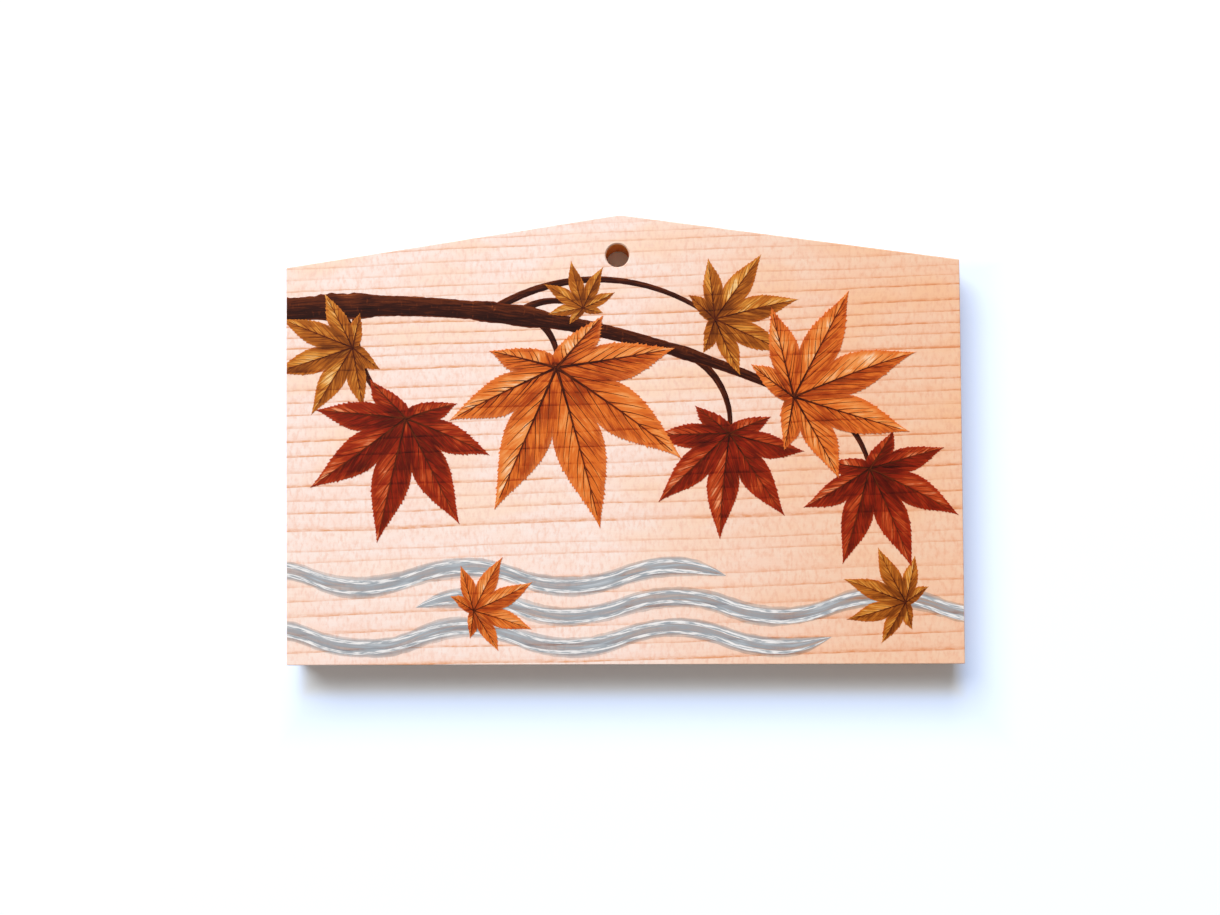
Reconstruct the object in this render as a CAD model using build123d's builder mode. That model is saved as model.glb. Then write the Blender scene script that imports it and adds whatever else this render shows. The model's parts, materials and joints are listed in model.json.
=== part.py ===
# Ema plaque: a softwood votive board with a gabled top edge, one hanging hole and a hand-painted face.
#
# The board lies on its back, as it would on a table. The origin is under the middle of the board,
# +Z points out of the painted face, +Y towards the apex of the gable and +X along the grain.
# Sizes are in millimetres and angles in degrees.
import os
from collections import namedtuple
from math import atan2, cos

from build123d import *

# Board
BOARD_WIDTH = 150.0
SHOULDER_HEIGHT = 89.0
GABLE_RISE = 10.9  # from the shoulders to where the two slopes would meet
APEX_RADIUS = 8.0
BOARD_THICKNESS = 8.0
ARRIS = 0.15  # every sharp edge is eased by this much

# Hole for the hanging cord, drilled by hand a little off the centre line
HOLE_DIAMETER = 5.2
HOLE_BELOW_APEX = 8.99
HOLE_OFF_CENTRE = -0.54
HOLE_ARRIS = 0.25

# Paint: broad washes lie on the wood, and fine lines lie on the washes
WASH_COAT = 0.08
LINE_COAT = 0.06
SMALLEST_DAB = 0.8  # area in square millimetres: what is cut down to less than this is left unpainted

# Maple branch and stems, as brush strokes that taper from the first width to the second
BRANCH_WIDTH = 5.4
BRANCH_TIP_WIDTH = 1.7
STEM_WIDTH = 1.9
STEM_TIP_WIDTH = 0.9
STEM_BOW = 0.16  # how far a stem bends off the straight line, as a share of its length

# Maple leaves, from the stem end to the tip of the middle lobe
GREAT_LEAF = 37.0
LARGE_LEAF = 28.5
MIDDLE_LEAF = 23.5
SMALL_LEAF = 19.0
FLOATING_LEAF = 14.5
YOUNG_LEAF = 11.0

# Maple leaf, in shares of its length: lobes from the middle one round to the stem, and the notches between
LOBE_ANGLES = (0, 40, 82, 122)
LOBE_REACH = (1.0, 0.93, 0.72, 0.42)
NOTCH_DEPTH = (0.40, 0.35, 0.25)
STEM_NOTCH = 0.08
LOBE_SWELL = 0.09  # how far a lobe's side is drawn outwards, as a share of the lobe's reach past its notch
SWELL_AT = 0.34  # where along that reach it is drawn outwards
TAPER_AT = 0.74  # where along that reach it is drawn in towards the lobe's middle line
TIP_SPREAD = 0.045  # how far from that line it is drawn in to, which leaves the tip its angle
VEIN_REACH = 0.9
VEIN_WIDTH = 0.028
VEIN_TIP_WIDTH = 0.009

# Stream along the foot of the board
HALF_WAVE = 23.0
WAVE_SWING = 2.2
WATER_WIDTH = 4.4
FOAM_WIDTH = 0.7
FOAM_SPREAD = 1.1  # each band carries two foam lines, this far above and below its middle

# Places on the face are shares of its half width and half height, measured from its middle.
# The branch is an arc through three of them.
Place = namedtuple("Place", "across up")
BRANCH_PLACES = (Place(-1.02, 0.59), Place(-0.30, 0.555), Place(0.52, 0.185))

# Each leaf: its colour, the place of its stem end, the way its middle lobe points and its length.
# Then where along the branch its stem starts, and whether the stem bows to the left (1) or right (-1).
# The leaf at the branch's tip and the two that float on the stream have no stem.
Leaf = namedtuple("Leaf", "colour across up turn length stem_from bow", defaults=(None, None))
LEAVES = (
    Leaf("ochre", -0.80, 0.42, 198, SMALL_LEAF, 0.10, 1),
    Leaf("ochre", 0.28, 0.53, 14, SMALL_LEAF, 0.40, 1),
    Leaf("ochre", -0.11, 0.585, 106, YOUNG_LEAF, 0.45, 1),
    Leaf("russet", -0.64, 0.10, 256, LARGE_LEAF, 0.15, -1),
    Leaf("russet", 0.73, -0.14, -66, MIDDLE_LEAF, 0.98, 1),
    Leaf("russet", 0.32, 0.02, -98, MIDDLE_LEAF, 0.78, 1),
    Leaf("orange", -0.19, 0.32, -74, GREAT_LEAF, 0.48, 1),
    Leaf("orange", 0.51, 0.18, 22, LARGE_LEAF),
    Leaf("ochre", 0.83, -0.73, 158, FLOATING_LEAF),
    Leaf("orange", -0.44, -0.76, 24, FLOATING_LEAF),
)

# Each band of water: its height on the face, and between which half waves it runs, counted from the middle
Band = namedtuple("Band", "up first last")
WATER_BANDS = (Band(-0.61, -4, 1), Band(-0.745, -2, 4), Band(-0.88, -4, 2))

# Worked out from the sizes above
half_width = BOARD_WIDTH / 2
gable_slope = atan2(GABLE_RISE, half_width)
apex_rounding = APEX_RADIUS / cos(gable_slope) - APEX_RADIUS
half_height = (SHOULDER_HEIGHT + GABLE_RISE - apex_rounding) / 2
shoulder_level = SHOULDER_HEIGHT - half_height
hole_place = (HOLE_OFF_CENTRE, half_height - HOLE_BELOW_APEX)
corners = (
    (-half_width, -half_height),
    (half_width, -half_height),
    (half_width, shoulder_level),
    (0, half_height + apex_rounding),
    (-half_width, shoulder_level),
)


def on_face(place):
    """Point of the face where a place or a leaf's stem end is."""
    return Vector(place.across * half_width, place.up * half_height)


def brush_stroke(start, middle, end, start_width, end_width):
    """Tapered stroke along the arc through three points."""
    start_side = (middle - start).normalized().rotate(Axis.Z, 90) * (start_width / 2)
    middle_side = (end - start).normalized().rotate(Axis.Z, 90) * ((start_width + end_width) / 4)
    end_side = (end - middle).normalized().rotate(Axis.Z, 90) * (end_width / 2)
    with BuildSketch(mode=Mode.PRIVATE) as stroke:
        with BuildLine():
            ThreePointArc(start + start_side, middle + middle_side, end + end_side)
            Line(end + end_side, end - end_side)
            ThreePointArc(end - end_side, middle - middle_side, start - start_side)
            Line(start - start_side, start + start_side)
        make_face()
    return stroke.sketch


def lobe_side(notch, tip):
    """Side of a lobe: it swells out of the notch and draws in to a fine tip."""
    along = tip.normalized()
    foot = along * notch.dot(along)
    reach = tip - foot
    outward = (notch - foot).normalized() * reach.length
    swell = notch + reach * SWELL_AT + outward * LOBE_SWELL
    taper = foot + reach * TAPER_AT + outward * TIP_SPREAD
    return Bezier(notch, swell, taper, tip)


def maple_leaf(leaf):
    """Outline of a seven-lobed leaf, with its stem end at the leaf's place on the face."""
    tips = [Vector(leaf.length * r, 0).rotate(Axis.Z, a) for r, a in zip(LOBE_REACH, LOBE_ANGLES)]
    notches = [
        Vector(leaf.length * depth, 0).rotate(Axis.Z, (low + high) / 2)
        for depth, low, high in zip(NOTCH_DEPTH, LOBE_ANGLES, LOBE_ANGLES[1:])
    ]
    notches.append(Vector(-leaf.length * STEM_NOTCH, 0))
    with BuildSketch(mode=Mode.PRIVATE) as outline:
        with BuildLine():
            for index, tip in enumerate(tips):
                if index > 0:
                    lobe_side(notches[index - 1], tip)
                lobe_side(notches[index], tip)
            mirror(about=Plane.XZ)
        make_face()
    return Location(on_face(leaf), (0, 0, leaf.turn)) * outline.sketch


def leaf_veins(leaf):
    """One tapered vein along each lobe of a leaf."""
    with BuildSketch(mode=Mode.PRIVATE) as veins:
        for angle in [-a for a in LOBE_ANGLES[1:]] + list(LOBE_ANGLES):
            reach = leaf.length * VEIN_REACH * LOBE_REACH[LOBE_ANGLES.index(abs(angle))]
            root_side = leaf.length * VEIN_WIDTH / 2
            tip_side = leaf.length * VEIN_TIP_WIDTH / 2
            with BuildLine(Plane.XY.rotated((0, 0, angle))):
                Polyline((0, -root_side), (reach, -tip_side), (reach, tip_side), (0, root_side), close=True)
            make_face()
    return Location(on_face(leaf), (0, 0, leaf.turn)) * veins.sketch


def wave_ribbon(band, width, spread=0):
    """Ribbon of half waves along a band, or spread off its middle, drawn to a point at both ends."""
    level = band.up * half_height + spread
    with BuildSketch(mode=Mode.PRIVATE) as ribbon:
        with BuildLine():
            for side in (width / 2, -width / 2):
                for index in range(band.first, band.last):
                    swing = WAVE_SWING if index % 2 == 0 else -WAVE_SWING
                    left = Vector(index * HALF_WAVE, level + (side if index > band.first else 0))
                    crest = Vector((index + 0.5) * HALF_WAVE, level + swing + side)
                    right = Vector((index + 1) * HALF_WAVE, level + (side if index < band.last - 1 else 0))
                    ThreePointArc(left, crest, right)
        make_face()
    return ribbon.sketch


def painted(area):
    """Faces of an area that are large enough to paint."""
    return area.faces().filter_by(lambda face: face.area > SMALLEST_DAB)


# Board: gabled outline, eased edges and the hanging hole
with BuildPart() as board:
    with BuildSketch() as outline:
        with BuildLine():
            Polyline(*corners, close=True)
        make_face()
        fillet(outline.vertices().sort_by(Axis.Y)[-1], APEX_RADIUS)
    extrude(amount=BOARD_THICKNESS)
    face_rims = board.faces().filter_by(Axis.Z).edges()
    foot_and_shoulders = board.edges().filter_by(Axis.Z).sort_by(Axis.Y)[:4]
    chamfer(face_rims + foot_and_shoulders, ARRIS)
    with Locations((*hole_place, BOARD_THICKNESS)):
        Hole(HOLE_DIAMETER / 2)
    hole_rims = board.edges().filter_by(GeomType.CIRCLE).sort_by(SortBy.RADIUS)[:2]
    chamfer(hole_rims, HOLE_ARRIS)

# Flat of the face, laid down to the sketches' level: the paint stops where it stops
flat = Pos(0, 0, -BOARD_THICKNESS) * board.faces().sort_by(Axis.Z)[-1]

# Leaves, nearest colour first: what a nearer leaf covers is left out of the ones behind it
leaf_areas = {}
vein_areas = []
covered = []
for colour in ("orange", "russet", "ochre"):
    outlines = [maple_leaf(leaf) for leaf in LEAVES if leaf.colour == colour]
    veins = [leaf_veins(leaf) for leaf in LEAVES if leaf.colour == colour]
    with BuildSketch() as area:
        add(outlines)
        add(flat, mode=Mode.INTERSECT)
        add(covered, mode=Mode.SUBTRACT)
    leaf_areas[colour] = painted(area)
    with BuildSketch() as lines:
        add(veins)
        add(leaf_areas[colour], mode=Mode.INTERSECT)
    vein_areas += painted(lines)
    covered += leaf_areas[colour]

# Branch with a stem to each leaf that hangs from it, behind the leaves
branch_places = [on_face(place) for place in BRANCH_PLACES]
branch_line = ThreePointArc(*branch_places)
strokes = [brush_stroke(*branch_places, BRANCH_WIDTH, BRANCH_TIP_WIDTH)]
for leaf in LEAVES:
    if leaf.stem_from is not None:
        stem_start = branch_line @ leaf.stem_from
        stem_end = on_face(leaf)
        span = stem_end - stem_start
        stem_middle = stem_start + span / 2 + span.rotate(Axis.Z, 90) * (STEM_BOW * leaf.bow)
        strokes.append(brush_stroke(stem_start, stem_middle, stem_end, STEM_WIDTH, STEM_TIP_WIDTH))
with BuildSketch() as branch_area:
    add(strokes)
    add(flat, mode=Mode.INTERSECT)
    add(covered, mode=Mode.SUBTRACT)

# Stream behind the floating leaves, with foam lines on its bands
bands = [wave_ribbon(band, WATER_WIDTH) for band in WATER_BANDS]
foam_lines = [wave_ribbon(band, FOAM_WIDTH, s) for band in WATER_BANDS for s in (FOAM_SPREAD, -FOAM_SPREAD)]
with BuildSketch() as water_area:
    add(bands)
    add(flat, mode=Mode.INTERSECT)
    add(covered, mode=Mode.SUBTRACT)
with BuildSketch() as foam_area:
    add(foam_lines)
    add(painted(water_area), mode=Mode.INTERSECT)

# Each colour of paint is a film of its own: the area it covers, the level it lies on and its thickness
wash_level = BOARD_THICKNESS
line_level = wash_level + WASH_COAT
films = {
    "water_paint": (painted(water_area), wash_level, WASH_COAT),
    "branch_paint": (painted(branch_area), wash_level, WASH_COAT),
    "ochre_leaves": (leaf_areas["ochre"], wash_level, WASH_COAT),
    "russet_leaves": (leaf_areas["russet"], wash_level, WASH_COAT),
    "orange_leaves": (leaf_areas["orange"], wash_level, WASH_COAT),
    "foam_paint": (painted(foam_area), line_level, LINE_COAT),
    "vein_paint": (vein_areas, line_level, LINE_COAT),
}

os.makedirs("parts", exist_ok=True)
board.part.label = "board"
export_step(board.part, "parts/board.step")
for name, (area, level, thickness) in films.items():
    with BuildPart() as film:
        with BuildSketch(Plane.XY.offset(level)):
            add(area)
        extrude(amount=thickness)
    film.part.label = name
    export_step(film.part, f"parts/{name}.step")
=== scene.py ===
# Looks of the ema plaque: a bare softwood board with a maple branch over a stream painted on its face.
#
# The frame is the plaque's own: the board lies on its back, +Z points out of the painted face, +Y towards the
# apex of the gable and +X along the grain. The design is written in millimetres, and meshes in metres.
import json
from collections import namedtuple
from functools import cached_property
from math import cos, pi, radians, sin, sqrt
from random import Random

import bmesh
import bpy
from mathutils import Euler, Matrix, Vector, noise


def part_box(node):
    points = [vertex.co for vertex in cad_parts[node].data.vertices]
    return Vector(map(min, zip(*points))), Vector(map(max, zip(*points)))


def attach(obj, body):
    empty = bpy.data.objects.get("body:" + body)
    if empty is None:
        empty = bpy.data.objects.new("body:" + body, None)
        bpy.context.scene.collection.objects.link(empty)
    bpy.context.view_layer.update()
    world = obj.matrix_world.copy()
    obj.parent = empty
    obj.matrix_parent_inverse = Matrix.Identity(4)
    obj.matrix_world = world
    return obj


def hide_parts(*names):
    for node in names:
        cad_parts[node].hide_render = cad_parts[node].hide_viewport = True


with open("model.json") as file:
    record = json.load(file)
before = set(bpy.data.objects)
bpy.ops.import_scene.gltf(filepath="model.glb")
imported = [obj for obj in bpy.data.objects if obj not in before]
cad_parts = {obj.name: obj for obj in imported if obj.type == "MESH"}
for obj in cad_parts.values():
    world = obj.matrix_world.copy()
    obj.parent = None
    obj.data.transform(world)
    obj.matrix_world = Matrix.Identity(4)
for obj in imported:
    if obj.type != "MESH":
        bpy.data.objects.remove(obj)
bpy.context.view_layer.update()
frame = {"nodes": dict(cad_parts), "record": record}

MM = 0.001
E_FOLD = 2.718

# Board, from the frame
_, board_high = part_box("board")
half_width = board_high.x / MM
half_height = board_high.y / MM
face_level = board_high.z / MM
ARRIS = 0.15  # how far the edges of the face are eased
hole = next(mount for mount in frame["record"]["mounts"] if mount["name"] == "hanging_hole")
hole_centre = Vector(hole["pos_m"]) / MM
hole_radius = hole["dims"]["r_mm"]
HOLE_RIM = (0.6, 0.4)  # beyond the radius: where the burnish and painted shade of the hole end, and where they are full

# Camera, as the photograph was taken: almost straight down, a little tilted
CAMERA_PLACE = Vector((3.5, -8.77, 235.5))
CAMERA_TURN = (0.0205, 0.0264, -0.0078)
PHOTO_WIDTH = 1220
FOCAL_LENGTH = 1025.6  # in pixels of the photograph
SENSOR_WIDTH = 36.0
CLIP_START = 0.01  # in metres

# Growth rings: the board is sawn nearly on the quarter, from far outside the pith. The profile is how dark a
# ring is through its year, from spring to autumn.
PITH_ABOVE = 165.0
PITH_BEHIND = 45.0
GRAIN_RISE = 0.031  # rings climb to the right by this much for each millimetre
RING_CROWDING = 50.0  # rings in each e-fold of the distance from the tree's point of crowding
CROWDING_POINT = 20.0
RING_SWAY = 2.4  # slow waves of the rings, in millimetres
RING_RIPPLE = 0.36  # fine waves
YEAR_DRIFT = 1.7  # years by which wide and narrow rings run ahead
LATE_PROFILE = ((0.0, 0.0), (0.55, 0.02), (0.78, 0.17), (0.88, 0.62), (0.94, 1.0), (0.98, 1.0), (1.0, 0.0))

# Levels of the paint above the wood, in painting order, and how far it soaks in
SOAK = 0.01
STREAM_COAT = 0.02
STEM_COAT = 0.022
BRANCH_COAT = 0.035
LEAF_COATS = {"ochre": 0.05, "russet": 0.08, "orange": 0.11}
LINE_COAT = 0.012
STACKED_LINE = 0.0006  # lines that cross each other lie this much above one another
WELD = 0.0005  # corners nearer than this become one

# Maple branch and stems, as brush strokes that taper from the first width to the second
BRANCH_WIDTH = 5.4
BRANCH_TIP_WIDTH = 1.7
STEM_WIDTH = 1.9
STEM_TIP_WIDTH = 0.9
STEM_BOW = 0.16
NODE_SWELL = 0.22
NODE_LENGTH = 3.0
STROKE_STEP = 0.5
LEAST_STEPS = 8
STROKE_COLUMNS = (-1.0, -0.6, -0.2, 0.2, 0.6, 1.0)  # from the right edge of a stroke to its left
BARK_WAVES = (0.8, 3.0)  # of the rough edges, along the stroke and across it
BARK_ROUGHNESS = 0.10

# Maple leaves, from the stem end to the tip of the middle lobe
GREAT_LEAF = 37.0
LARGE_LEAF = 28.5
MIDDLE_LEAF = 23.5
SMALL_LEAF = 19.0
FLOATING_LEAF = 14.5
YOUNG_LEAF = 11.0

# Maple leaf, in shares of its length: lobes from the middle one round to the stem, and the notches between
LOBE_ANGLES = (0, 40, 82, 122)
LOBE_REACH = (1.0, 0.93, 0.72, 0.42)
NOTCH_DEPTH = (0.40, 0.35, 0.25)
STEM_NOTCH = 0.08
LOBE_SWELL = 0.09
SWELL_AT = 0.34
TAPER_AT = 0.74
TIP_SPREAD = 0.045
LAST_LOBE = len(LOBE_ANGLES) - 1
LOBES = range(-LAST_LOBE, LAST_LOBE + 1)  # counted anticlockwise from the middle lobe
LOBE_BEND = 2.6  # degrees that a lobe may curve to either side
TOOTH_LENGTH = 1.15  # mean length along the margin, in millimetres
TOOTH_LENGTHS = (0.55, 1.45)  # shortest and longest, in shares of the mean
LEAST_TEETH = 5
TOOTH_DEPTH = 0.010  # of a tooth of mean length
TOOTH_DEPTHS = (0.6, 1.2)  # shallowest and deepest, in shares of that
TOOTH_FADE = 0.6  # teeth fade towards both ends of the margin by this power
TOOTH_PROFILE = ((0.0, 0.0), (0.45, 0.42), (0.84, 1.0))  # where along a tooth, and how far out of its depth
HALF_LOBE_ROWS = (0.0, 0.5, 0.86, 1.0)  # from the rib to the margin
MARGIN_STEP = 0.01  # the direction of the margin is taken over this share to either side

# Veins, in shares of the leaf's length
VEIN_REACH = 0.92
VEIN_WIDTH = 0.021
VEIN_TIP_WIDTH = 0.006
VEIN_STEPS = 12
SIDE_VEINS = 6
SIDE_VEIN_WIDTH = 0.0065
SIDE_VEIN_TIP_WIDTH = 0.0022

# Side veins, in shares of the lobe: where each leaves its part of the rib, how much further along it ends,
# how far towards the margin it goes, and where its points are
SIDE_VEIN_PARTS = SIDE_VEINS + 2  # the last parts of the rib have none
SIDE_VEIN_STARTS = (0.7, 1.2)
SIDE_VEIN_SLANTS = (0.03, 0.07)
SIDE_VEIN_REACHES = (0.74, 0.92)
SIDE_VEIN_SHARES = (0.0, 0.34, 0.67, 1.0)

# Stream along the foot of the board
HALF_WAVE = 23.0
WAVE_SWING = 2.2
STREAM_STEP = 0.5
WATER_WIDTH = 4.4
WATER_PRESS = 0.25  # how unevenly the brush is pressed, as a share of the width
WATER_COLUMNS = 6
FOAM_WIDTH = 0.7
FOAM_SPREAD = 1.1
FOAM_PRESS = 0.9
FOAM_COLUMNS = 2
HAND_WANDER = 0.5
WANDER_WAVES = 0.07  # in each millimetre
PRESS_WAVES = 0.06
PRESS_LANE = 5.0  # keeps the pressing apart from the wandering in the noise
EDGE_WAVES = (0.5, 2.0)  # of the rough edges, along the stream and across it
EDGE_ROUGHNESS = 0.1

# Seeds of the random draws and of the brush marks, which make one stroke differ from another
TOOTH_SEED = 100
VEIN_SEED = 200
LEAF_MARKS = 31.7  # from one leaf to the next
LOBE_MARKS = 5.3
VEIN_MARKS = 11.3
BRANCH_MARKS = 3.0
STEM_MARKS = 20.0
WATER_MARKS = 40.0
FOAM_MARKS = 60.0

# The painter's light falls from the upper left of the face
PAINTED_LIGHT = radians(130)

# Places on the face, in shares of its half width and half height from its middle
Place = namedtuple("Place", "across up")
BRANCH_PLACES = (Place(-1.02, 0.59), Place(-0.30, 0.555), Place(0.52, 0.185))

# Each leaf: its colour, the place of its stem end, the way its middle lobe points and its length, then where
# along the branch its stem starts and whether the stem bows to the left (1) or right (-1)
Leaf = namedtuple("Leaf", "colour across up turn length stem_from bow", defaults=(None, None))
LEAVES = (
    Leaf("ochre", -0.80, 0.42, 198, SMALL_LEAF, 0.10, 1),
    Leaf("ochre", 0.28, 0.53, 14, SMALL_LEAF, 0.40, 1),
    Leaf("ochre", -0.11, 0.585, 106, YOUNG_LEAF, 0.45, 1),
    Leaf("russet", -0.64, 0.10, 256, LARGE_LEAF, 0.15, -1),
    Leaf("russet", 0.73, -0.14, -66, MIDDLE_LEAF, 0.98, 1),
    Leaf("russet", 0.32, 0.02, -98, MIDDLE_LEAF, 0.78, 1),
    Leaf("orange", -0.19, 0.32, -74, GREAT_LEAF, 0.48, 1),
    Leaf("orange", 0.51, 0.18, 22, LARGE_LEAF),
    Leaf("ochre", 0.83, -0.73, 158, FLOATING_LEAF),
    Leaf("orange", -0.44, -0.76, 24, FLOATING_LEAF),
)

# Each band of water: its height on the face, and between which half waves it runs, counted from the middle
Band = namedtuple("Band", "up first last")
WATER_BANDS = (Band(-0.61, -4, 1), Band(-0.745, -2, 4), Band(-0.88, -4, 2))


# Colours

def srgb(red, green, blue):
    """Linear colour of a screen colour written from 0 to 255."""
    def linear(value):
        share = value / 255
        return share / 12.92 if share <= 0.04045 else ((share + 0.055) / 1.055) ** 2.4

    return (linear(red), linear(green), linear(blue), 1.0)


EARLY_WOOD = srgb(252, 239, 233)
MIDDLE_WOOD = srgb(252, 224, 212)
PEACH_WOOD = srgb(253, 222, 196)
LATE_WOOD = srgb(229, 164, 122)
RAY_FLECK = srgb(245, 208, 191)
RIGHT_SHADE_TINT = (0.93, 0.74, 0.57, 1.0)  # what the wood's colour is multiplied by where the painted shade is deepest
SAWN_EDGE = (0.80, 0.74, 0.67, 1.0)
END_GRAIN = (0.90, 0.80, 0.72, 1.0)
# Wall of the hole: partly the drill's burnish, partly painted shade in the hole
DRILLED_WALL_AND_SHADE = (0.78, 0.46, 0.14, 1.0)
WHITE = (1.0, 1.0, 1.0, 1.0)

# Tones of each paint, from the darkest to the lightest

def tones(*screen_colours):
    return tuple(srgb(*colour) for colour in screen_colours)


LEAF_TONES = {
    "ochre": tones((58, 22, 3), (117, 55, 11), (176, 96, 26), (220, 146, 58), (247, 212, 150)),
    "russet": tones((38, 4, 2), (92, 16, 4), (142, 33, 8), (188, 72, 28), (240, 160, 112)),
    "orange": tones((84, 20, 3), (168, 62, 14), (222, 112, 38), (238, 150, 78), (252, 212, 172)),
}
BARK_TONES = tones((20, 3, 2), (48, 14, 6), (92, 38, 14), (160, 84, 40), (226, 164, 118))
WATER_TONES = tones((70, 82, 94), (108, 120, 132), (143, 155, 165), (178, 188, 196), (222, 226, 229))
FOAM_TONES = tones((176, 184, 192), (206, 210, 214), (228, 229, 230), (240, 240, 240), (248, 247, 246))
VEIN_TONES = tones((24, 4, 2), (52, 12, 3), (86, 26, 6), (128, 52, 16), (178, 92, 40))
GLAZE_TONE = 3  # the tone of a paint that lies thinly on the wood
WATER_GLAZE_TONE = 4
PAINT_ROUGHNESS = 0.5
PAINT_SPECULAR = 0.12


# Node trees

class Field:
    """Number, colour or vector that varies over a surface, with arithmetic for numbers."""

    def __init__(self, graph, socket):
        self.graph = graph
        self.socket = socket

    def __add__(self, other):
        return self.graph.math("ADD", self, other)

    def __sub__(self, other):
        return self.graph.math("SUBTRACT", self, other)

    def __rsub__(self, other):
        return self.graph.math("SUBTRACT", other, self)

    def __mul__(self, other):
        return self.graph.math("MULTIPLY", self, other)

    __radd__ = __add__
    __rmul__ = __mul__


class Graph:
    """Short way to write a node tree: inputs are constants or fields made before."""

    def __init__(self, tree):
        self.tree = tree

    @cached_property
    def place(self):
        """Place in the frame, in millimetres."""
        metres = self.node("TexCoord").outputs["Object"]
        scaled = self.node("VectorMath", {0: metres, 3: 1 / MM}, operation="SCALE")
        return Field(self, scaled.outputs[0])

    def node(self, kind, inputs=(), **settings):
        made = self.tree.nodes.new("ShaderNode" + kind)
        for name, value in settings.items():
            setattr(made, name, value)
        for name, value in dict(inputs).items():
            self.feed(made.inputs[name], value)
        return made

    def feed(self, socket, value):
        """Set a node's input to a constant, or link it to a field."""
        source = value.socket if isinstance(value, Field) else value
        if isinstance(source, bpy.types.NodeSocket):
            self.tree.links.new(source, socket)
        else:
            socket.default_value = source

    def math(self, operation, *values):
        return Field(self, self.node("Math", enumerate(values), operation=operation).outputs[0])

    def split(self, vector):
        parts = self.node("SeparateXYZ", {0: vector}).outputs
        return [Field(self, part) for part in parts]

    def joined(self, x, y, z):
        return Field(self, self.node("CombineXYZ", {0: x, 1: y, 2: z}).outputs[0])

    def attribute(self, name):
        return Field(self, self.node("Attribute", attribute_name=name).outputs["Vector"])

    def seen(self):
        """1 where the camera looks, and 0 for light that goes from surface to surface."""
        return Field(self, self.node("LightPath").outputs["Is Camera Ray"])

    def normal(self):
        return self.split(Field(self, self.node("NewGeometry").outputs["Normal"]))

    def noise(self, place, stretch, detail=2.0, roughness=0.5):
        """Smooth noise from 0 to 1, with stretch waves in each unit of x, y and z."""
        waves = self.node("VectorMath", {0: place, 1: stretch}, operation="MULTIPLY").outputs[0]
        inputs = {"Vector": waves, "Scale": 1.0, "Detail": detail, "Roughness": roughness}
        return Field(self, self.node("TexNoise", inputs).outputs["Fac"])

    def ramp_between(self, value, low, high, start=0.0, end=1.0, shape="SMOOTHSTEP"):
        """Number that goes smoothly from start to end as another goes from low to high."""
        inputs = {"Value": value, "From Min": low, "From Max": high, "To Min": start, "To Max": end}
        return Field(self, self.node("MapRange", inputs, interpolation_type=shape).outputs["Result"])

    def blend(self, share, first, second, how="MIX"):
        inputs = {0: share, 6: first, 7: second}
        return Field(self, self.node("Mix", inputs, data_type="RGBA", blend_type=how).outputs[2])

    def colours(self, value, stops, shape="LINEAR"):
        """Colour read off a row of (position, colour) stops."""
        ramp = self.node("ValToRGB", {0: value})
        ramp.color_ramp.interpolation = shape
        elements = ramp.color_ramp.elements
        while len(elements) < len(stops):
            elements.new(1.0)
        for element, (position, colour) in zip(elements, stops):
            element.position = position
            element.color = colour
        return Field(self, ramp.outputs["Color"])

    def profile(self, value, stops):
        """Number read off a row of (position, height) stops."""
        grey = [(position, (height, height, height, 1.0)) for position, height in stops]
        return self.math("ADD", self.colours(value, grey), 0.0)

    def bump(self, height, strength, depth):
        inputs = {"Height": height, "Strength": strength, "Distance": depth * MM}
        return Field(self, self.node("Bump", inputs).outputs["Normal"])


def new_material(name, roughness, specular):
    material = bpy.data.materials.new(name)
    material.use_nodes = True
    surface = material.node_tree.nodes["Principled BSDF"]
    surface.inputs["Roughness"].default_value = roughness
    surface.inputs["Specular IOR Level"].default_value = specular
    return material, Graph(material.node_tree), surface


def add_object(name, data):
    made = bpy.data.objects.new(name, data)
    bpy.context.scene.collection.objects.link(made)
    return made


# Wood, as a group that the paints share, because the grain shows through them

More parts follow.
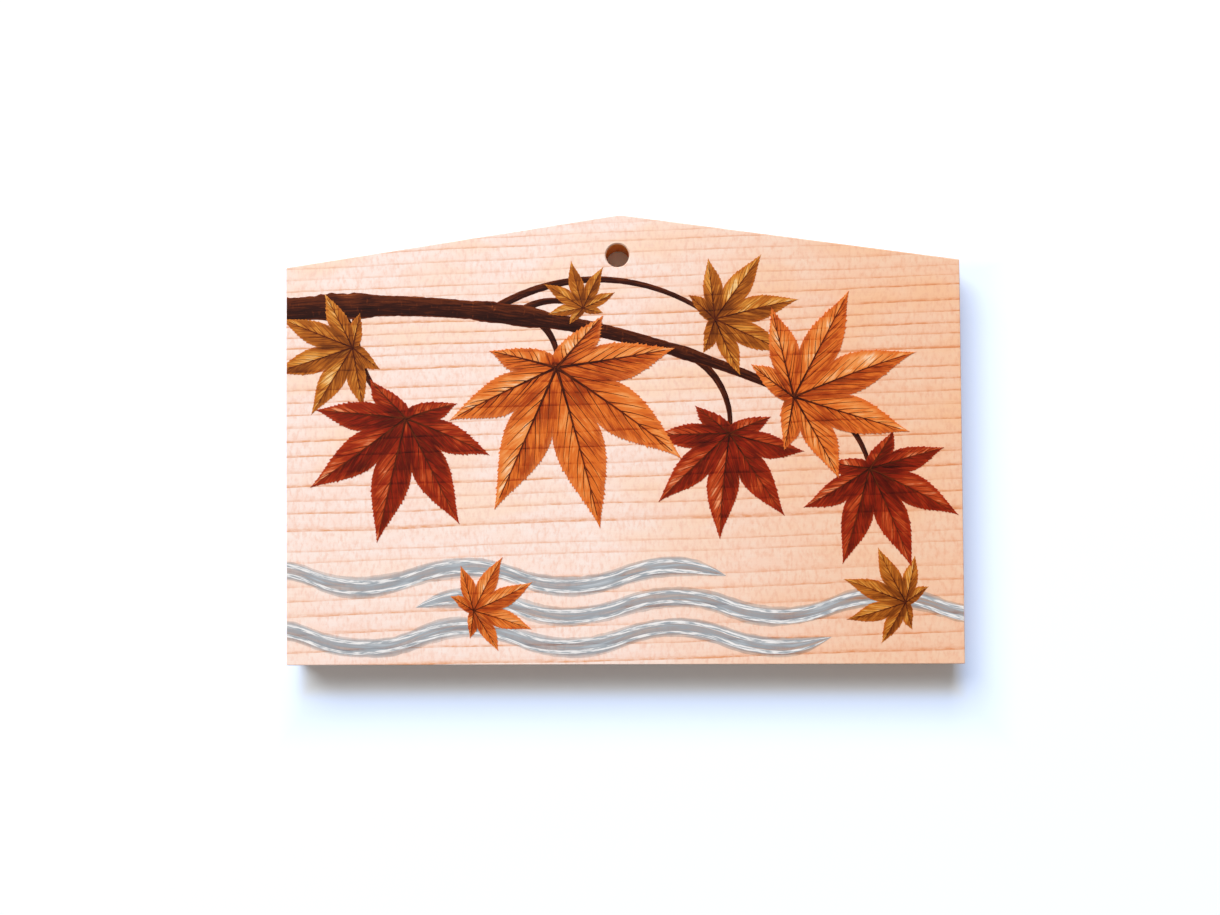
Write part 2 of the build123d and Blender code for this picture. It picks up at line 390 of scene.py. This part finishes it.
def build_softwood():
    """Colour, late wood and relief of the softwood at any point of the board."""
    tree = bpy.data.node_groups.new("softwood", "ShaderNodeTree")
    for output, kind in (("Colour", "Color"), ("Late", "Float"), ("Relief", "Float")):
        tree.interface.new_socket(output, in_out="OUTPUT", socket_type="NodeSocket" + kind)
    graph = Graph(tree)
    place = graph.place
    x, y, z = graph.split(place)

    # Distance from the pith, with the slow sway and the fine ripple of real rings
    sway = graph.noise(place, (0.014, 0.05, 0.05)) - 0.5
    ripple = graph.noise(place, (0.24, 0.5, 0.5), detail=3.0) - 0.5
    height = y - x * GRAIN_RISE + sway * RING_SWAY + ripple * RING_RIPPLE
    down = PITH_ABOVE - height
    out = z + PITH_BEHIND
    distance = graph.math("SQRT", down * down + out * out)

    # Years, counted outwards, some wide and some narrow
    years = graph.math("LOGARITHM", distance - CROWDING_POINT, E_FOLD) * RING_CROWDING
    drift = graph.noise(graph.joined(distance, 0.0, 0.0), (0.12, 1.0, 1.0), detail=1.0)
    years = years + drift * YEAR_DRIFT
    season = graph.math("FRACT", years)
    year = graph.math("FLOOR", years)
    year_noise = graph.node("TexWhiteNoise", {"W": year}, noise_dimensions="1D")
    vigour = Field(graph, year_noise.outputs["Value"])
    year_tint = graph.split(Field(graph, year_noise.outputs["Color"]))[2]

    # Late wood darkens slowly and ends sharply, and each line is broken along its length
    line = graph.profile(season, LATE_PROFILE)
    stretches = graph.noise(place, (0.055, 0.9, 0.9))
    dashes = graph.noise(place, (0.5, 1.6, 1.6), detail=3.0, roughness=0.7)
    late = line * graph.ramp_between(vigour, 0.0, 1.0, 0.38, 1.0, "LINEAR")
    late = late * graph.ramp_between(stretches, 0.3, 0.65, 0.55, 1.1)
    late = late * graph.ramp_between(dashes, 0.3, 0.68, 0.4, 1.2)
    late = late * graph.ramp_between(y, 42.0, 22.0, 0.8, 1.4)
    late = late * graph.ramp_between(y, -14.0, -30.0, 1.0, 0.7)

    # Early wood is mottled, flecked by rays across the grain and finely fibrous along it
    mottle = graph.noise(place, (0.34, 0.42, 0.42), detail=4.0, roughness=0.66)
    peach = graph.noise(place, (0.045, 0.11, 0.11), detail=3.0)
    rays = graph.noise(place, (1.25, 0.6, 0.9), detail=3.0, roughness=0.62)
    fibres = graph.noise(place, (0.10, 5.5, 5.5), detail=2.0)
    warmth = graph.ramp_between(mottle, 0.28, 0.72) * 0.62 + season * 0.22 + year_tint * 0.16
    colour = graph.blend(warmth, EARLY_WOOD, MIDDLE_WOOD)
    peach = graph.ramp_between(peach, 0.42, 0.68) * graph.ramp_between(y, -34.0, -4.0, 0.3, 0.75)
    colour = graph.blend(peach, colour, PEACH_WOOD)
    colour = graph.blend(graph.ramp_between(rays, 0.42, 0.75) * 0.9, colour, RAY_FLECK)
    colour = graph.blend(late, colour, LATE_WOOD)
    shading = 0.965 + fibres * 0.07
    colour = graph.blend(1.0, colour, graph.joined(shading, shading, shading), "MULTIPLY")

    # Painted shade: the wood darkens towards the board's right side, where the light falls off, in broken
    # patches
    right_shade_patches = graph.noise(place, (0.02, 0.035, 0.035)) - 0.5
    right_shade = graph.ramp_between(x * (1 / half_width) + right_shade_patches * 0.5, -0.15, 0.85)
    colour = graph.blend(right_shade, colour, RIGHT_SHADE_TINT, "MULTIPLY")

    relief = fibres * 0.5 + late * 0.6 + rays * 0.25
    outputs = tree.nodes.new("NodeGroupOutput")
    graph.feed(outputs.inputs["Colour"], colour)
    graph.feed(outputs.inputs["Late"], late)
    graph.feed(outputs.inputs["Relief"], relief)
    return tree


softwood = build_softwood()


def add_softwood(graph):
    """Colour, late wood and relief of the wood, as fields of a material."""
    group = graph.node("Group", node_tree=softwood)
    return [Field(graph, group.outputs[name]) for name in ("Colour", "Late", "Relief")]


def board_material():
    material, graph, surface = new_material("planed_softwood", roughness=0.62, specular=0.3)
    colour, _, relief = add_softwood(graph)
    normal_x, _, normal_z = graph.normal()

    # The wall of the hole is darker: partly burnished by the drill, partly painted shade in the hole
    on_edge = graph.ramp_between(normal_z * normal_z, 0.6, 0.2)
    x, y, _ = graph.split(graph.place)
    from_hole = graph.math("POWER", x - hole_centre.x, 2.0) + graph.math("POWER", y - hole_centre.y, 2.0)
    near_hole = graph.ramp_between(from_hole, *[(hole_radius + beyond) ** 2 for beyond in HOLE_RIM])
    colour = graph.blend(near_hole * on_edge, colour, DRILLED_WALL_AND_SHADE, "MULTIPLY")

    # The edges are sawn, so duller than the planed face, and the end grain of two of them is darker still
    saw_marks = graph.noise(graph.place, (1.3, 1.3, 0.08), detail=3.0, roughness=0.6)
    dull = on_edge * (1.0 - near_hole) * (0.62 + saw_marks * 0.6)
    colour = graph.blend(dull, colour, SAWN_EDGE, "MULTIPLY")
    pores = graph.noise(graph.place, (2.0, 3.2, 3.2), detail=2.0)
    end = graph.ramp_between(normal_x * normal_x, 0.4, 0.8)
    colour = graph.blend(end * (0.55 + pores * 0.6), colour, END_GRAIN, "MULTIPLY")

    graph.feed(surface.inputs["Base Color"], colour)
    graph.feed(surface.inputs["Roughness"], 0.55 + relief * 0.12)
    graph.feed(surface.inputs["Normal"], graph.bump(relief + on_edge * saw_marks * 0.8, 0.35, 0.05))
    return material


# Paints

def new_paint(name):
    return new_material(name, PAINT_ROUGHNESS, PAINT_SPECULAR)


def finish_paint(graph, surface, tone, paint, cover, strokes, glaze=GLAZE_TONE, ground=None):
    """Paint of the given tones, which glazes the wood, or shows another ground, where it covers less."""
    wood, late, relief = add_softwood(graph)
    stops = [(index / (len(paint) - 1), colour) for index, colour in enumerate(paint)]
    colour = graph.colours(tone - late * 0.16, stops, "EASE")
    under = ground or graph.blend(1.0, wood, paint[glaze], "MULTIPLY")
    graph.feed(surface.inputs["Base Color"], graph.blend(cover, under, colour))
    graph.feed(surface.inputs["Roughness"], 0.42 + strokes * 0.2)
    graph.feed(surface.inputs["Normal"], graph.bump(strokes * 0.8 + relief * 0.35, 0.4, 0.04))


def leaf_material(colour):
    """Wash of a leaf: each lobe is folded along its rib, and the brush ran from the rib to the margin."""
    material, graph, surface = new_paint(f"{colour}_wash")
    stroke = graph.attribute("stroke")
    lit, along, across = graph.split(graph.attribute("shade"))
    hairs = graph.noise(stroke, (2.1, 0.30, 1.0), detail=3.0, roughness=0.6)
    touches = graph.noise(stroke, (0.55, 0.22, 1.0), detail=2.0)
    blotches = graph.noise(graph.place, (0.13, 0.13, 0.0), detail=2.0)
    opened = graph.ramp_between(along, 0.0, 0.3)
    fold = lit * (1.0 - across * 0.55) * opened
    rib = graph.ramp_between(across, 0.22, 0.0) * opened
    margin = graph.ramp_between(across, 0.70, 1.0)
    tone = 0.5 + fold * 0.23 - rib * 0.10 - margin * 0.12 + along * 0.10 - (1.0 - opened) * 0.20
    tone = tone + (hairs - 0.5) * 0.7 + (touches - 0.5) * 0.75 + (blotches - 0.5) * 0.75
    cover = graph.ramp_between(hairs + touches, 0.62, 0.95, 0.55, 1.0)
    cover = cover * graph.ramp_between(across + (hairs - 0.5) * 0.5, 0.78, 1.05, 1.0, 0.25)
    finish_paint(graph, surface, tone, LEAF_TONES[colour], cover, hairs)
    return material


def bark_material():
    """Branch: rounded by light along one side, with bark strokes along it and pale dashes across it."""
    material, graph, surface = new_paint("bark_wash")
    stroke = graph.attribute("stroke")
    lit, _, across = graph.split(graph.attribute("shade"))
    strokes = graph.noise(stroke, (0.22, 2.6, 1.0), detail=3.0, roughness=0.62)
    dashes = graph.noise(stroke, (1.5, 0.5, 1.0), detail=2.0)
    roundness = across * lit
    tone = 0.33 + roundness * 0.24 + (strokes - 0.5) * 0.95 + graph.ramp_between(dashes, 0.60, 0.74) * 0.18
    cover = graph.ramp_between(strokes, 0.15, 0.4, 0.7, 1.0)
    cover = cover * graph.ramp_between(across * across + (strokes - 0.5) * 0.8, 0.7, 1.1, 1.0, 0.45)
    finish_paint(graph, surface, tone, BARK_TONES, cover, strokes)
    return material


def water_material():
    """Stream: a thin wash, darker along the lower edge, streaked along its flow."""
    material, graph, surface = new_paint("water_wash")
    stroke = graph.attribute("stroke")
    across = graph.split(graph.attribute("shade"))[2]
    streaks = graph.noise(stroke, (0.07, 1.9, 1.0), detail=3.0, roughness=0.6)
    pools = graph.noise(stroke, (0.10, 0.25, 1.0), detail=2.0)
    tone = 0.46 + across * 0.14 + (streaks - 0.5) * 1.5 + (pools - 0.5) * 1.2
    cover = graph.ramp_between(streaks + pools * 0.6, 0.55, 0.95, 0.3, 0.97)
    cover = cover * graph.ramp_between(across * across + (streaks - 0.5) * 1.6, 0.35, 1.0, 1.0, 0.0)
    finish_paint(graph, surface, tone, WATER_TONES, cover, streaks, WATER_GLAZE_TONE)
    return material


def line_material(name, paint, start_tone, end_tone, ground, thin):
    """Line of paint that changes tone along its length and shows its ground where the brush ran dry."""
    material, graph, surface = new_paint(name)
    stroke = graph.attribute("stroke")
    along = graph.split(graph.attribute("shade"))[1]
    streaks = graph.noise(stroke, (0.35, 3.0, 1.0), detail=2.0)
    tone = graph.ramp_between(along, 0.0, 1.0, start_tone, end_tone) + (streaks - 0.5) * 0.5
    cover = graph.ramp_between(streaks, 0.37, 0.6, thin, 1.0)
    finish_paint(graph, surface, tone, paint, cover, streaks, ground=ground)
    return material


# Painted meshes: grids of corners, each with its place on the face, its brush coordinates and its shading

Corner = namedtuple("Corner", "point stroke shade")
Grid = namedtuple("Grid", "rows level")


def cut_to_face(mesh):
    """Cut off what runs past the flat of the face at its left and right."""
    for side in (-1, 1):
        edge = Vector((side * (half_width - ARRIS) * MM, 0, 0))
        everything = mesh.verts[:] + mesh.edges[:] + mesh.faces[:]
        bmesh.ops.bisect_plane(mesh, geom=everything, plane_co=edge, plane_no=(side, 0, 0), clear_outer=True)


def thicken(mesh, foot, layers):
    """Close a sheet downwards: a copy of its faces at the foot, and walls along its rim."""
    top_faces = mesh.faces[:]
    rim = [edge.link_loops[0] for edge in mesh.edges if edge.is_boundary]
    lower = {vertex: mesh.verts.new((vertex.co.x, vertex.co.y, foot)) for vertex in mesh.verts[:]}
    for face in top_faces:
        mesh.faces.new([lower[vertex] for vertex in reversed(face.verts)])
    for start in rim:
        end = start.link_loop_next
        wall = mesh.faces.new((end.vert, start.vert, lower[start.vert], lower[end.vert]))
        for layer in layers:
            for loop, source in zip(wall.loops, (end, start, start, end)):
                loop[layer] = source[layer]


def film_object(name, grids, material):
    """Film of paint made of grids, welded where they meet, cut to the face and closed down to the wood."""
    mesh = bmesh.new()
    stroke_layer = mesh.loops.layers.float_vector.new("stroke")
    shade_layer = mesh.loops.layers.float_vector.new("shade")
    for grid in grids:
        level = (face_level + grid.level) * MM
        vertices = [[mesh.verts.new((*corner.point * MM, level)) for corner in row] for row in grid.rows]
        for row in range(len(grid.rows) - 1):
            for column in range(len(grid.rows[0]) - 1):
                cell = ((row, column), (row, column + 1), (row + 1, column + 1), (row + 1, column))
                face = mesh.faces.new([vertices[i][j] for i, j in cell])
                for loop, (i, j) in zip(face.loops, cell):
                    loop[stroke_layer] = grid.rows[i][j].stroke
                    loop[shade_layer] = grid.rows[i][j].shade
    bmesh.ops.remove_doubles(mesh, verts=mesh.verts[:], dist=WELD * MM)
    mesh.normal_update()
    bmesh.ops.reverse_faces(mesh, faces=[face for face in mesh.faces if face.normal.z < 0])
    cut_to_face(mesh)
    thicken(mesh, (face_level - SOAK) * MM, (stroke_layer, shade_layer))
    data = bpy.data.meshes.new(name)
    mesh.to_mesh(data)
    mesh.free()
    data.materials.append(material)
    return add_object(name, data)


def add_paint(name, node, grids, material):
    """Piece of paint in the place of a film of the frame."""
    piece = film_object(name, grids, material)
    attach(piece, "root")
    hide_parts(node)


def on_face(place):
    """Point of the face where a place or a leaf's stem end is."""
    return Vector((place.across * half_width, place.up * half_height))


def turned(vector, angle):
    """Vector of the face turned anticlockwise by an angle in radians."""
    return Matrix.Rotation(angle, 2) @ vector


def towards(angle):
    return Vector((cos(angle), sin(angle)))


# Leaves

def bezier(points, share):
    first, second, third, last = points
    rest = 1 - share
    return first * rest**3 + second * (3 * rest**2 * share) + third * (3 * rest * share**2) + last * share**3


class HalfLobe:
    """One side of a lobe, between its rib and its margin, placed by shares along the lobe and across it."""

    def __init__(self, leaf, number, side, bend):
        angle = radians(LOBE_ANGLES[abs(number)] * (1 if number > 0 else -1))
        self.leaf = leaf
        self.side = side
        self.bend = radians(bend)
        self.reach = LOBE_REACH[abs(number)] * leaf.length
        self.tip = towards(angle) * self.reach
        self.lit = cos(radians(leaf.turn) + angle + side * pi / 2 - PAINTED_LIGHT)
        self.margin = self.margin_curve(self.notch(number if side > 0 else number - 1))

    def notch(self, number):
        """Notch between a lobe and the next one anticlockwise."""
        if number in (LAST_LOBE, -LAST_LOBE - 1):
            return Vector((-STEM_NOTCH * self.leaf.length, 0))
        low = number if number >= 0 else -number - 1
        angle = radians((LOBE_ANGLES[low] + LOBE_ANGLES[low + 1]) / 2)
        return towards(angle if number >= 0 else -angle) * (NOTCH_DEPTH[low] * self.leaf.length)

    def margin_curve(self, notch):
        """The margin swells out of the notch and draws in to a fine tip."""
        along = self.tip.normalized()
        foot = along * notch.dot(along)
        reach = self.tip - foot
        outward = (notch - foot).normalized() * reach.length
        swell = notch + reach * SWELL_AT + outward * LOBE_SWELL
        taper = foot + reach * TAPER_AT + outward * TIP_SPREAD
        return (notch, swell, taper, self.tip)

    def on_leaf(self, along, point):
        """Point of the face for a point of the lobe, which curves more towards its tip."""
        return on_face(self.leaf) + turned(point, radians(self.leaf.turn) + self.bend * along**2)

    def point(self, along, across, tooth=0.0):
        rib = self.tip * along
        margin = bezier(self.margin, along)
        if tooth:
            step = bezier(self.margin, along + MARGIN_STEP) - bezier(self.margin, along - MARGIN_STEP)
            margin = margin + Vector((-step.y, step.x)).normalized() * (self.side * tooth)
        return self.on_leaf(along, rib.lerp(margin, across))

    def corner(self, along, across, seed, tooth=0.0):
        width = (bezier(self.margin, along) - self.tip * along).length
        stroke = (along * self.reach, self.side * across * width, seed)
        return Corner(self.point(along, across, tooth), stroke, (self.lit, along, across))

    def grid(self, teeth, level, seed, random):
        """Grid from the rib to the margin, whose teeth have the given lengths."""
        rows = []
        passed = 0.0
        for length in teeth:
            depth = TOOTH_DEPTH * self.leaf.length * length * random.uniform(*TOOTH_DEPTHS)
            for part, rise in TOOTH_PROFILE:
                along = (passed + part * length) / sum(teeth)
                tooth = rise * depth * sin(pi * along) ** TOOTH_FADE
                corners = [self.corner(along, across, seed) for across in HALF_LOBE_ROWS[:-1]]
                rows.append(corners + [self.corner(along, 1.0, seed, tooth)])
            passed += length
        rows.append([self.corner(1.0, across, seed) for across in HALF_LOBE_ROWS])
        return Grid(rows, level)


def leaf_halves(leaf, index):
    """Both sides of each lobe of a leaf, with a curve of its own for each lobe."""
    random = Random(index)
    halves = []
    for number in LOBES:
        bend = random.uniform(-LOBE_BEND, LOBE_BEND)
        halves.append([HalfLobe(leaf, number, side, bend) for side in (-1, 1)])
    return halves


def leaf_grids(colour):
    grids = []
    for index, leaf in enumerate(LEAVES):
        if leaf.colour == colour:
            random = Random(TOOTH_SEED + index)
            for number, halves in enumerate(leaf_halves(leaf, index)):
                seed = index * LEAF_MARKS + number * LOBE_MARKS
                count = max(LEAST_TEETH, round(halves[0].reach / TOOTH_LENGTH))
                teeth = [random.uniform(*TOOTH_LENGTHS) for _ in range(count)]
                grids += [half.grid(teeth, LEAF_COATS[colour], seed, random) for half in halves]
    return grids


def line_grid(points, widths, level, seed):
    """Thin line through points of the face, with its width at each."""
    rows = []
    travelled = 0.0
    last = len(points) - 1
    for index, (point, width) in enumerate(zip(points, widths)):
        ahead = points[min(index + 1, last)] - points[max(index - 1, 0)]
        sideways = Vector((-ahead.y, ahead.x)).normalized() * (width / 2)
        travelled += (point - points[max(index - 1, 0)]).length
        shade = (0.0, index / last, 0.0)
        row = []
        for side in (-1, 0, 1):
            stroke = (travelled, side * width / 2, seed)
            row.append(Corner(point + sideways * side, stroke, shade))
        rows.append(row)
    return Grid(rows, level)


def vein_grids():
    """A tapered vein along each lobe, and side veins from it towards the margin."""
    grids = []
    for index, leaf in enumerate(LEAVES):
        random = Random(VEIN_SEED + index)
        level = LEAF_COATS[leaf.colour] + LINE_COAT
        for number, halves in enumerate(leaf_halves(leaf, index)):
            seed = index * VEIN_MARKS + number
            shares = [VEIN_REACH * step / VEIN_STEPS for step in range(VEIN_STEPS + 1)]
            points = [halves[0].point(share, 0.0) for share in shares]
            taper = VEIN_TIP_WIDTH - VEIN_WIDTH
            widths = [leaf.length * (VEIN_WIDTH + taper * sqrt(share / VEIN_REACH)) for share in shares]
            grids.append(line_grid(points, widths, level + number * STACKED_LINE, seed))
            for half in halves:
                grids += side_veins(half, level - STACKED_LINE, seed, random)
    return grids


def side_veins(half, level, seed, random):
    """Fine veins that bow from the rib towards the margin of one side of a lobe."""
    grids = []
    for count in range(SIDE_VEINS):
        start = (count + random.uniform(*SIDE_VEIN_STARTS)) / SIDE_VEIN_PARTS
        end = start + random.uniform(*SIDE_VEIN_SLANTS)
        reach = random.uniform(*SIDE_VEIN_REACHES)
        points = []
        widths = []
        for share in SIDE_VEIN_SHARES:
            points.append(half.point(start + (end - start) * share**2, reach * share))
            taper = SIDE_VEIN_TIP_WIDTH - SIDE_VEIN_WIDTH
            widths.append(half.leaf.length * (SIDE_VEIN_WIDTH + taper * share))
        grids.append(line_grid(points, widths, level, seed))
    return grids


# Branch

class Arc:
    """Arc through three points of the face, placed by the share of its length."""

    def __init__(self, start, middle, end):
        first = middle - start
        second = end - start
        turn = 2 * (first.x * second.y - first.y * second.x)
        centre_x = (second.y * first.length_squared - first.y * second.length_squared) / turn
        centre_y = (first.x * second.length_squared - second.x * first.length_squared) / turn
        self.centre = start + Vector((centre_x, centre_y))
        self.spoke = start - self.centre
        self.sweep = -self.spoke.angle_signed(end - self.centre)
        self.length = abs(self.sweep) * self.spoke.length

    def point(self, share):
        return self.centre + turned(self.spoke, self.sweep * share)

    def left(self, share):
        """Direction to the left of the way along the arc."""
        outward = turned(self.spoke, self.sweep * share).normalized()
        return -outward if self.sweep > 0 else outward


def brush_stroke(arc, start_width, end_width, level, seed, swells=()):
    """Stroke along an arc, with rough edges, a taper and a swelling at each node."""
    count = max(LEAST_STEPS, round(arc.length / STROKE_STEP))
    rows = []
    for index in range(count + 1):
        share = index / count
        along = share * arc.length
        width = start_width + (end_width - start_width) * share
        swell = sum(NODE_SWELL * E_FOLD ** -(((along - place) / NODE_LENGTH) ** 2) for place in swells)
        left = arc.left(share)
        lit = left.dot(towards(PAINTED_LIGHT))
        corners = []
        for across in STROKE_COLUMNS:
            marks = Vector((along * BARK_WAVES[0], across * BARK_WAVES[1], seed))
            rough = noise.noise(marks) * BARK_ROUGHNESS
            offset = across * width / 2 * (1 + swell + rough)
            point = arc.point(share) + left * offset
            corners.append(Corner(point, (along, offset, seed), (lit, share, across)))
        rows.append(corners)
    return Grid(rows, level)


def branch_grids():
    """The branch, and the stems that start on it."""
    branch = Arc(*[on_face(place) for place in BRANCH_PLACES])
    stemmed = [leaf for leaf in LEAVES if leaf.stem_from is not None]
    swells = [leaf.stem_from * branch.length for leaf in stemmed]
    grids = [brush_stroke(branch, BRANCH_WIDTH, BRANCH_TIP_WIDTH, BRANCH_COAT, BRANCH_MARKS, swells)]
    for index, leaf in enumerate(stemmed):
        start = branch.point(leaf.stem_from)
        end = on_face(leaf)
        span = end - start
        middle = start + span / 2 + turned(span, pi / 2) * (STEM_BOW * leaf.bow)
        stem = Arc(start, middle, end)
        level = STEM_COAT + index * STACKED_LINE
        grids.append(brush_stroke(stem, STEM_WIDTH, STEM_TIP_WIDTH, level, STEM_MARKS + index))
    return grids


# Stream

def wave_height(x):
    """Height of the half waves, which are arcs above and below the band's level in turn."""
    index = x // HALF_WAVE
    off_crest = x - (index + 0.5) * HALF_WAVE
    radius = (WAVE_SWING**2 + (HALF_WAVE / 2) ** 2) / (2 * WAVE_SWING)
    rise = sqrt(radius**2 - off_crest**2) - (radius - WAVE_SWING)
    return rise if index % 2 == 0 else -rise


def ribbon_grid(band, width, spread, level, seed, unevenness, columns):
    """Ribbon of half waves, drawn to a point at both ends by a hand that wanders and presses unevenly."""
    start = band.first * HALF_WAVE
    length = (band.last - band.first) * HALF_WAVE
    count = round(length / STREAM_STEP)
    rows = []
    for index in range(count + 1):
        share = index / count
        x = start + share * length
        from_end = min(share, 1 - share) * length
        taper = 1 - max(0.0, 1 - 2 * from_end / HALF_WAVE) ** 2
        wander = noise.noise(Vector((x * WANDER_WAVES, 0.0, seed))) * HAND_WANDER
        middle = band.up * half_height + wave_height(x) + (spread + wander) * taper
        press = 1 + noise.noise(Vector((x * PRESS_WAVES, PRESS_LANE, seed))) * unevenness
        corners = []
        for column in range(columns + 1):
            across = 2 * column / columns - 1
            marks = Vector((x * EDGE_WAVES[0], across * EDGE_WAVES[1], seed))
            rough = noise.noise(marks) * EDGE_ROUGHNESS
            offset = across * width / 2 * taper * (press + rough)
            corners.append(Corner(Vector((x, middle + offset)), (x, offset, seed), (0.0, share, across)))
        rows.append(corners)
    return Grid(rows, level)


def water_grids():
    grids = []
    for index, band in enumerate(WATER_BANDS):
        seed = WATER_MARKS + index
        grids.append(ribbon_grid(band, WATER_WIDTH, 0.0, STREAM_COAT, seed, WATER_PRESS, WATER_COLUMNS))
    return grids


def foam_grids():
    """Two white lines along each band of water."""
    grids = []
    level = STREAM_COAT + LINE_COAT
    for index, band in enumerate(WATER_BANDS):
        for side in (-1, 1):
            seed = FOAM_MARKS + 2 * index + side
            spread = side * FOAM_SPREAD
            grids.append(ribbon_grid(band, FOAM_WIDTH, spread, level, seed, FOAM_PRESS, FOAM_COLUMNS))
    return grids


# The object: the bare board of the frame, and the paint on it

board = frame["nodes"]["board"]
board.data.materials.clear()
board.data.materials.append(board_material())

add_paint("stream", "water_paint", water_grids(), water_material())
foam_paint = line_material(
    "foam_lines", FOAM_TONES, start_tone=0.75, end_tone=0.75, ground=WATER_TONES[2], thin=0.12
)
add_paint("foam", "foam_paint", foam_grids(), foam_paint)
add_paint("branch", "branch_paint", branch_grids(), bark_material())
for leaf_colour in LEAF_COATS:
    grids = leaf_grids(leaf_colour)
    wash = leaf_material(leaf_colour)
    add_paint(f"{leaf_colour}_maple", f"{leaf_colour}_leaves", grids, wash)
vein_paint = line_material(
    "vein_lines", VEIN_TONES, start_tone=0.2, end_tone=0.6, ground=VEIN_TONES[3], thin=0.5
)
add_paint("veins", "vein_paint", vein_grids(), vein_paint)


# Studio: a white floor, soft light from the upper left and the camera of the photograph

# Floor: the camera sees a glow on it where it is lit, and a blue haze in the half shadow
FLOOR_HALF = 3.0  # in metres, while distances below are in millimetres
FLOOR_WHITE = (0.875, 0.95, 1.0, 1.0)
FLOOR_GLOW = 0.115  # what the camera sees of the floor beyond its own colour
FLOOR_HAZE = 0.28  # how blue the half shadow looks
HAZE_GREEN = 0.3  # green in the haze, as a share of its blue
DEEP_SHADOW = (3.1 - half_width, half_width - 0.7, -half_height - 6.2)  # where it ends left, right and below
HAZE_FULL = 4.4  # this far out of the deep shadow
GABLE_SLOPE = 0.145
LIT_ABOVE = (-1.0, 4.0)  # from the gable: the window lights the floor right up to the board there
LIT_LEFT = (2.0 - half_width, -6.0 - half_width)  # and right up to its left side
LIT_BESIDE = (5.0, 16.0)  # out of the deep shadow
FAR_GLOW = (150.0, 700.0)  # far away, the floor turns as white as the sky behind it

# Lights
WINDOW_AZIMUTH = radians(114)  # from +X, so a little to the left of the apex
WINDOW_HEIGHT = radians(39)
WINDOW_AWAY = 5.0  # in metres
WINDOW_SIZE = (5.0, 2.7)
WINDOW_POWER = 344.0  # in watts
WINDOW_TINT = (0.985, 0.995, 1.0)
SKY_LIGHT = (0.278, 0.244, 0.226, 1.0)
OVERHEAD_LIGHT = (0.70, 0.58, 0.52, 1.0)
OVERHEAD_SPREAD = radians(24)


def floor_material():
    material, graph, surface = new_material("white_table", roughness=0.9, specular=0.0)
    surface.inputs["Base Color"].default_value = FLOOR_WHITE
    x, y, _ = graph.split(graph.place)

    # How far a point lies out of the deep shadow
    left, right, below = DEEP_SHADOW
    beyond_sides = graph.math("MAXIMUM", left - x, x - right)
    above = y + graph.math("ABSOLUTE", x) * GABLE_SLOPE - half_height
    beyond_ends = graph.math("MAXIMUM", below - y, above)
    beside = graph.math("MAXIMUM", beyond_sides, beyond_ends)

    # Haze and glow, which only the camera sees, so that they light nothing
    haze = graph.ramp_between(beside, 0.0, HAZE_FULL, 0.0, FLOOR_HAZE)
    lit = graph.math("MAXIMUM", graph.ramp_between(above, *LIT_ABOVE), graph.ramp_between(x, *LIT_LEFT))
    lit = graph.math("MAXIMUM", lit, graph.ramp_between(beside, *LIT_BESIDE))
    glow = lit * FLOOR_GLOW + graph.ramp_between(beside, *FAR_GLOW)
    graph.feed(surface.inputs["Emission Color"], graph.joined(glow, glow + haze * HAZE_GREEN, glow + haze))
    graph.feed(surface.inputs["Emission Strength"], graph.seen())
    return material


def add_floor():
    mesh = bmesh.new()
    corners = [(x * FLOOR_HALF, y * FLOOR_HALF, 0) for x, y in ((-1, -1), (1, -1), (1, 1), (-1, 1))]
    mesh.faces.new([mesh.verts.new(corner) for corner in corners])
    data = bpy.data.meshes.new("floor")
    mesh.to_mesh(data)
    mesh.free()
    data.materials.append(floor_material())
    floor = add_object("floor", data)


def add_window():
    lamp = bpy.data.lights.new("window", "AREA")
    lamp.shape = "RECTANGLE"
    lamp.size, lamp.size_y = WINDOW_SIZE
    lamp.energy = WINDOW_POWER
    lamp.color = WINDOW_TINT
    window = add_object("window", lamp)
    level = cos(WINDOW_HEIGHT)
    direction = Vector((level * cos(WINDOW_AZIMUTH), level * sin(WINDOW_AZIMUTH), sin(WINDOW_HEIGHT)))
    facing = direction.to_track_quat("Z", "Y").to_matrix().to_4x4()
    window.matrix_world = Matrix.Translation(direction * WINDOW_AWAY) @ facing
    window.visible_camera = False


def add_sky():
    """Light from all round, strongest from overhead, which the camera sees as plain white."""
    world = bpy.data.worlds.new("sky")
    world.use_nodes = True
    graph = Graph(world.node_tree)
    up = graph.split(graph.node("TexCoord").outputs["Generated"])[2]
    overhead = graph.ramp_between(up, cos(OVERHEAD_SPREAD), 1.0)
    light = graph.blend(overhead, SKY_LIGHT, OVERHEAD_LIGHT)
    background = world.node_tree.nodes["Background"]
    graph.feed(background.inputs["Color"], graph.blend(graph.seen(), light, WHITE))
    bpy.context.scene.world = world


def add_camera():
    lens = bpy.data.cameras.new("camera")
    lens.sensor_width = SENSOR_WIDTH
    lens.lens = FOCAL_LENGTH / PHOTO_WIDTH * SENSOR_WIDTH
    lens.clip_start = CLIP_START
    camera = add_object("camera", lens)
    turn = Euler(CAMERA_TURN, "ZYX").to_matrix().to_4x4()
    camera.matrix_world = Matrix.Translation(CAMERA_PLACE * MM) @ turn
    bpy.context.scene.camera = camera


add_floor()
add_window()
add_sky()
add_camera()
bpy.context.scene.view_settings.view_transform = "Standard"
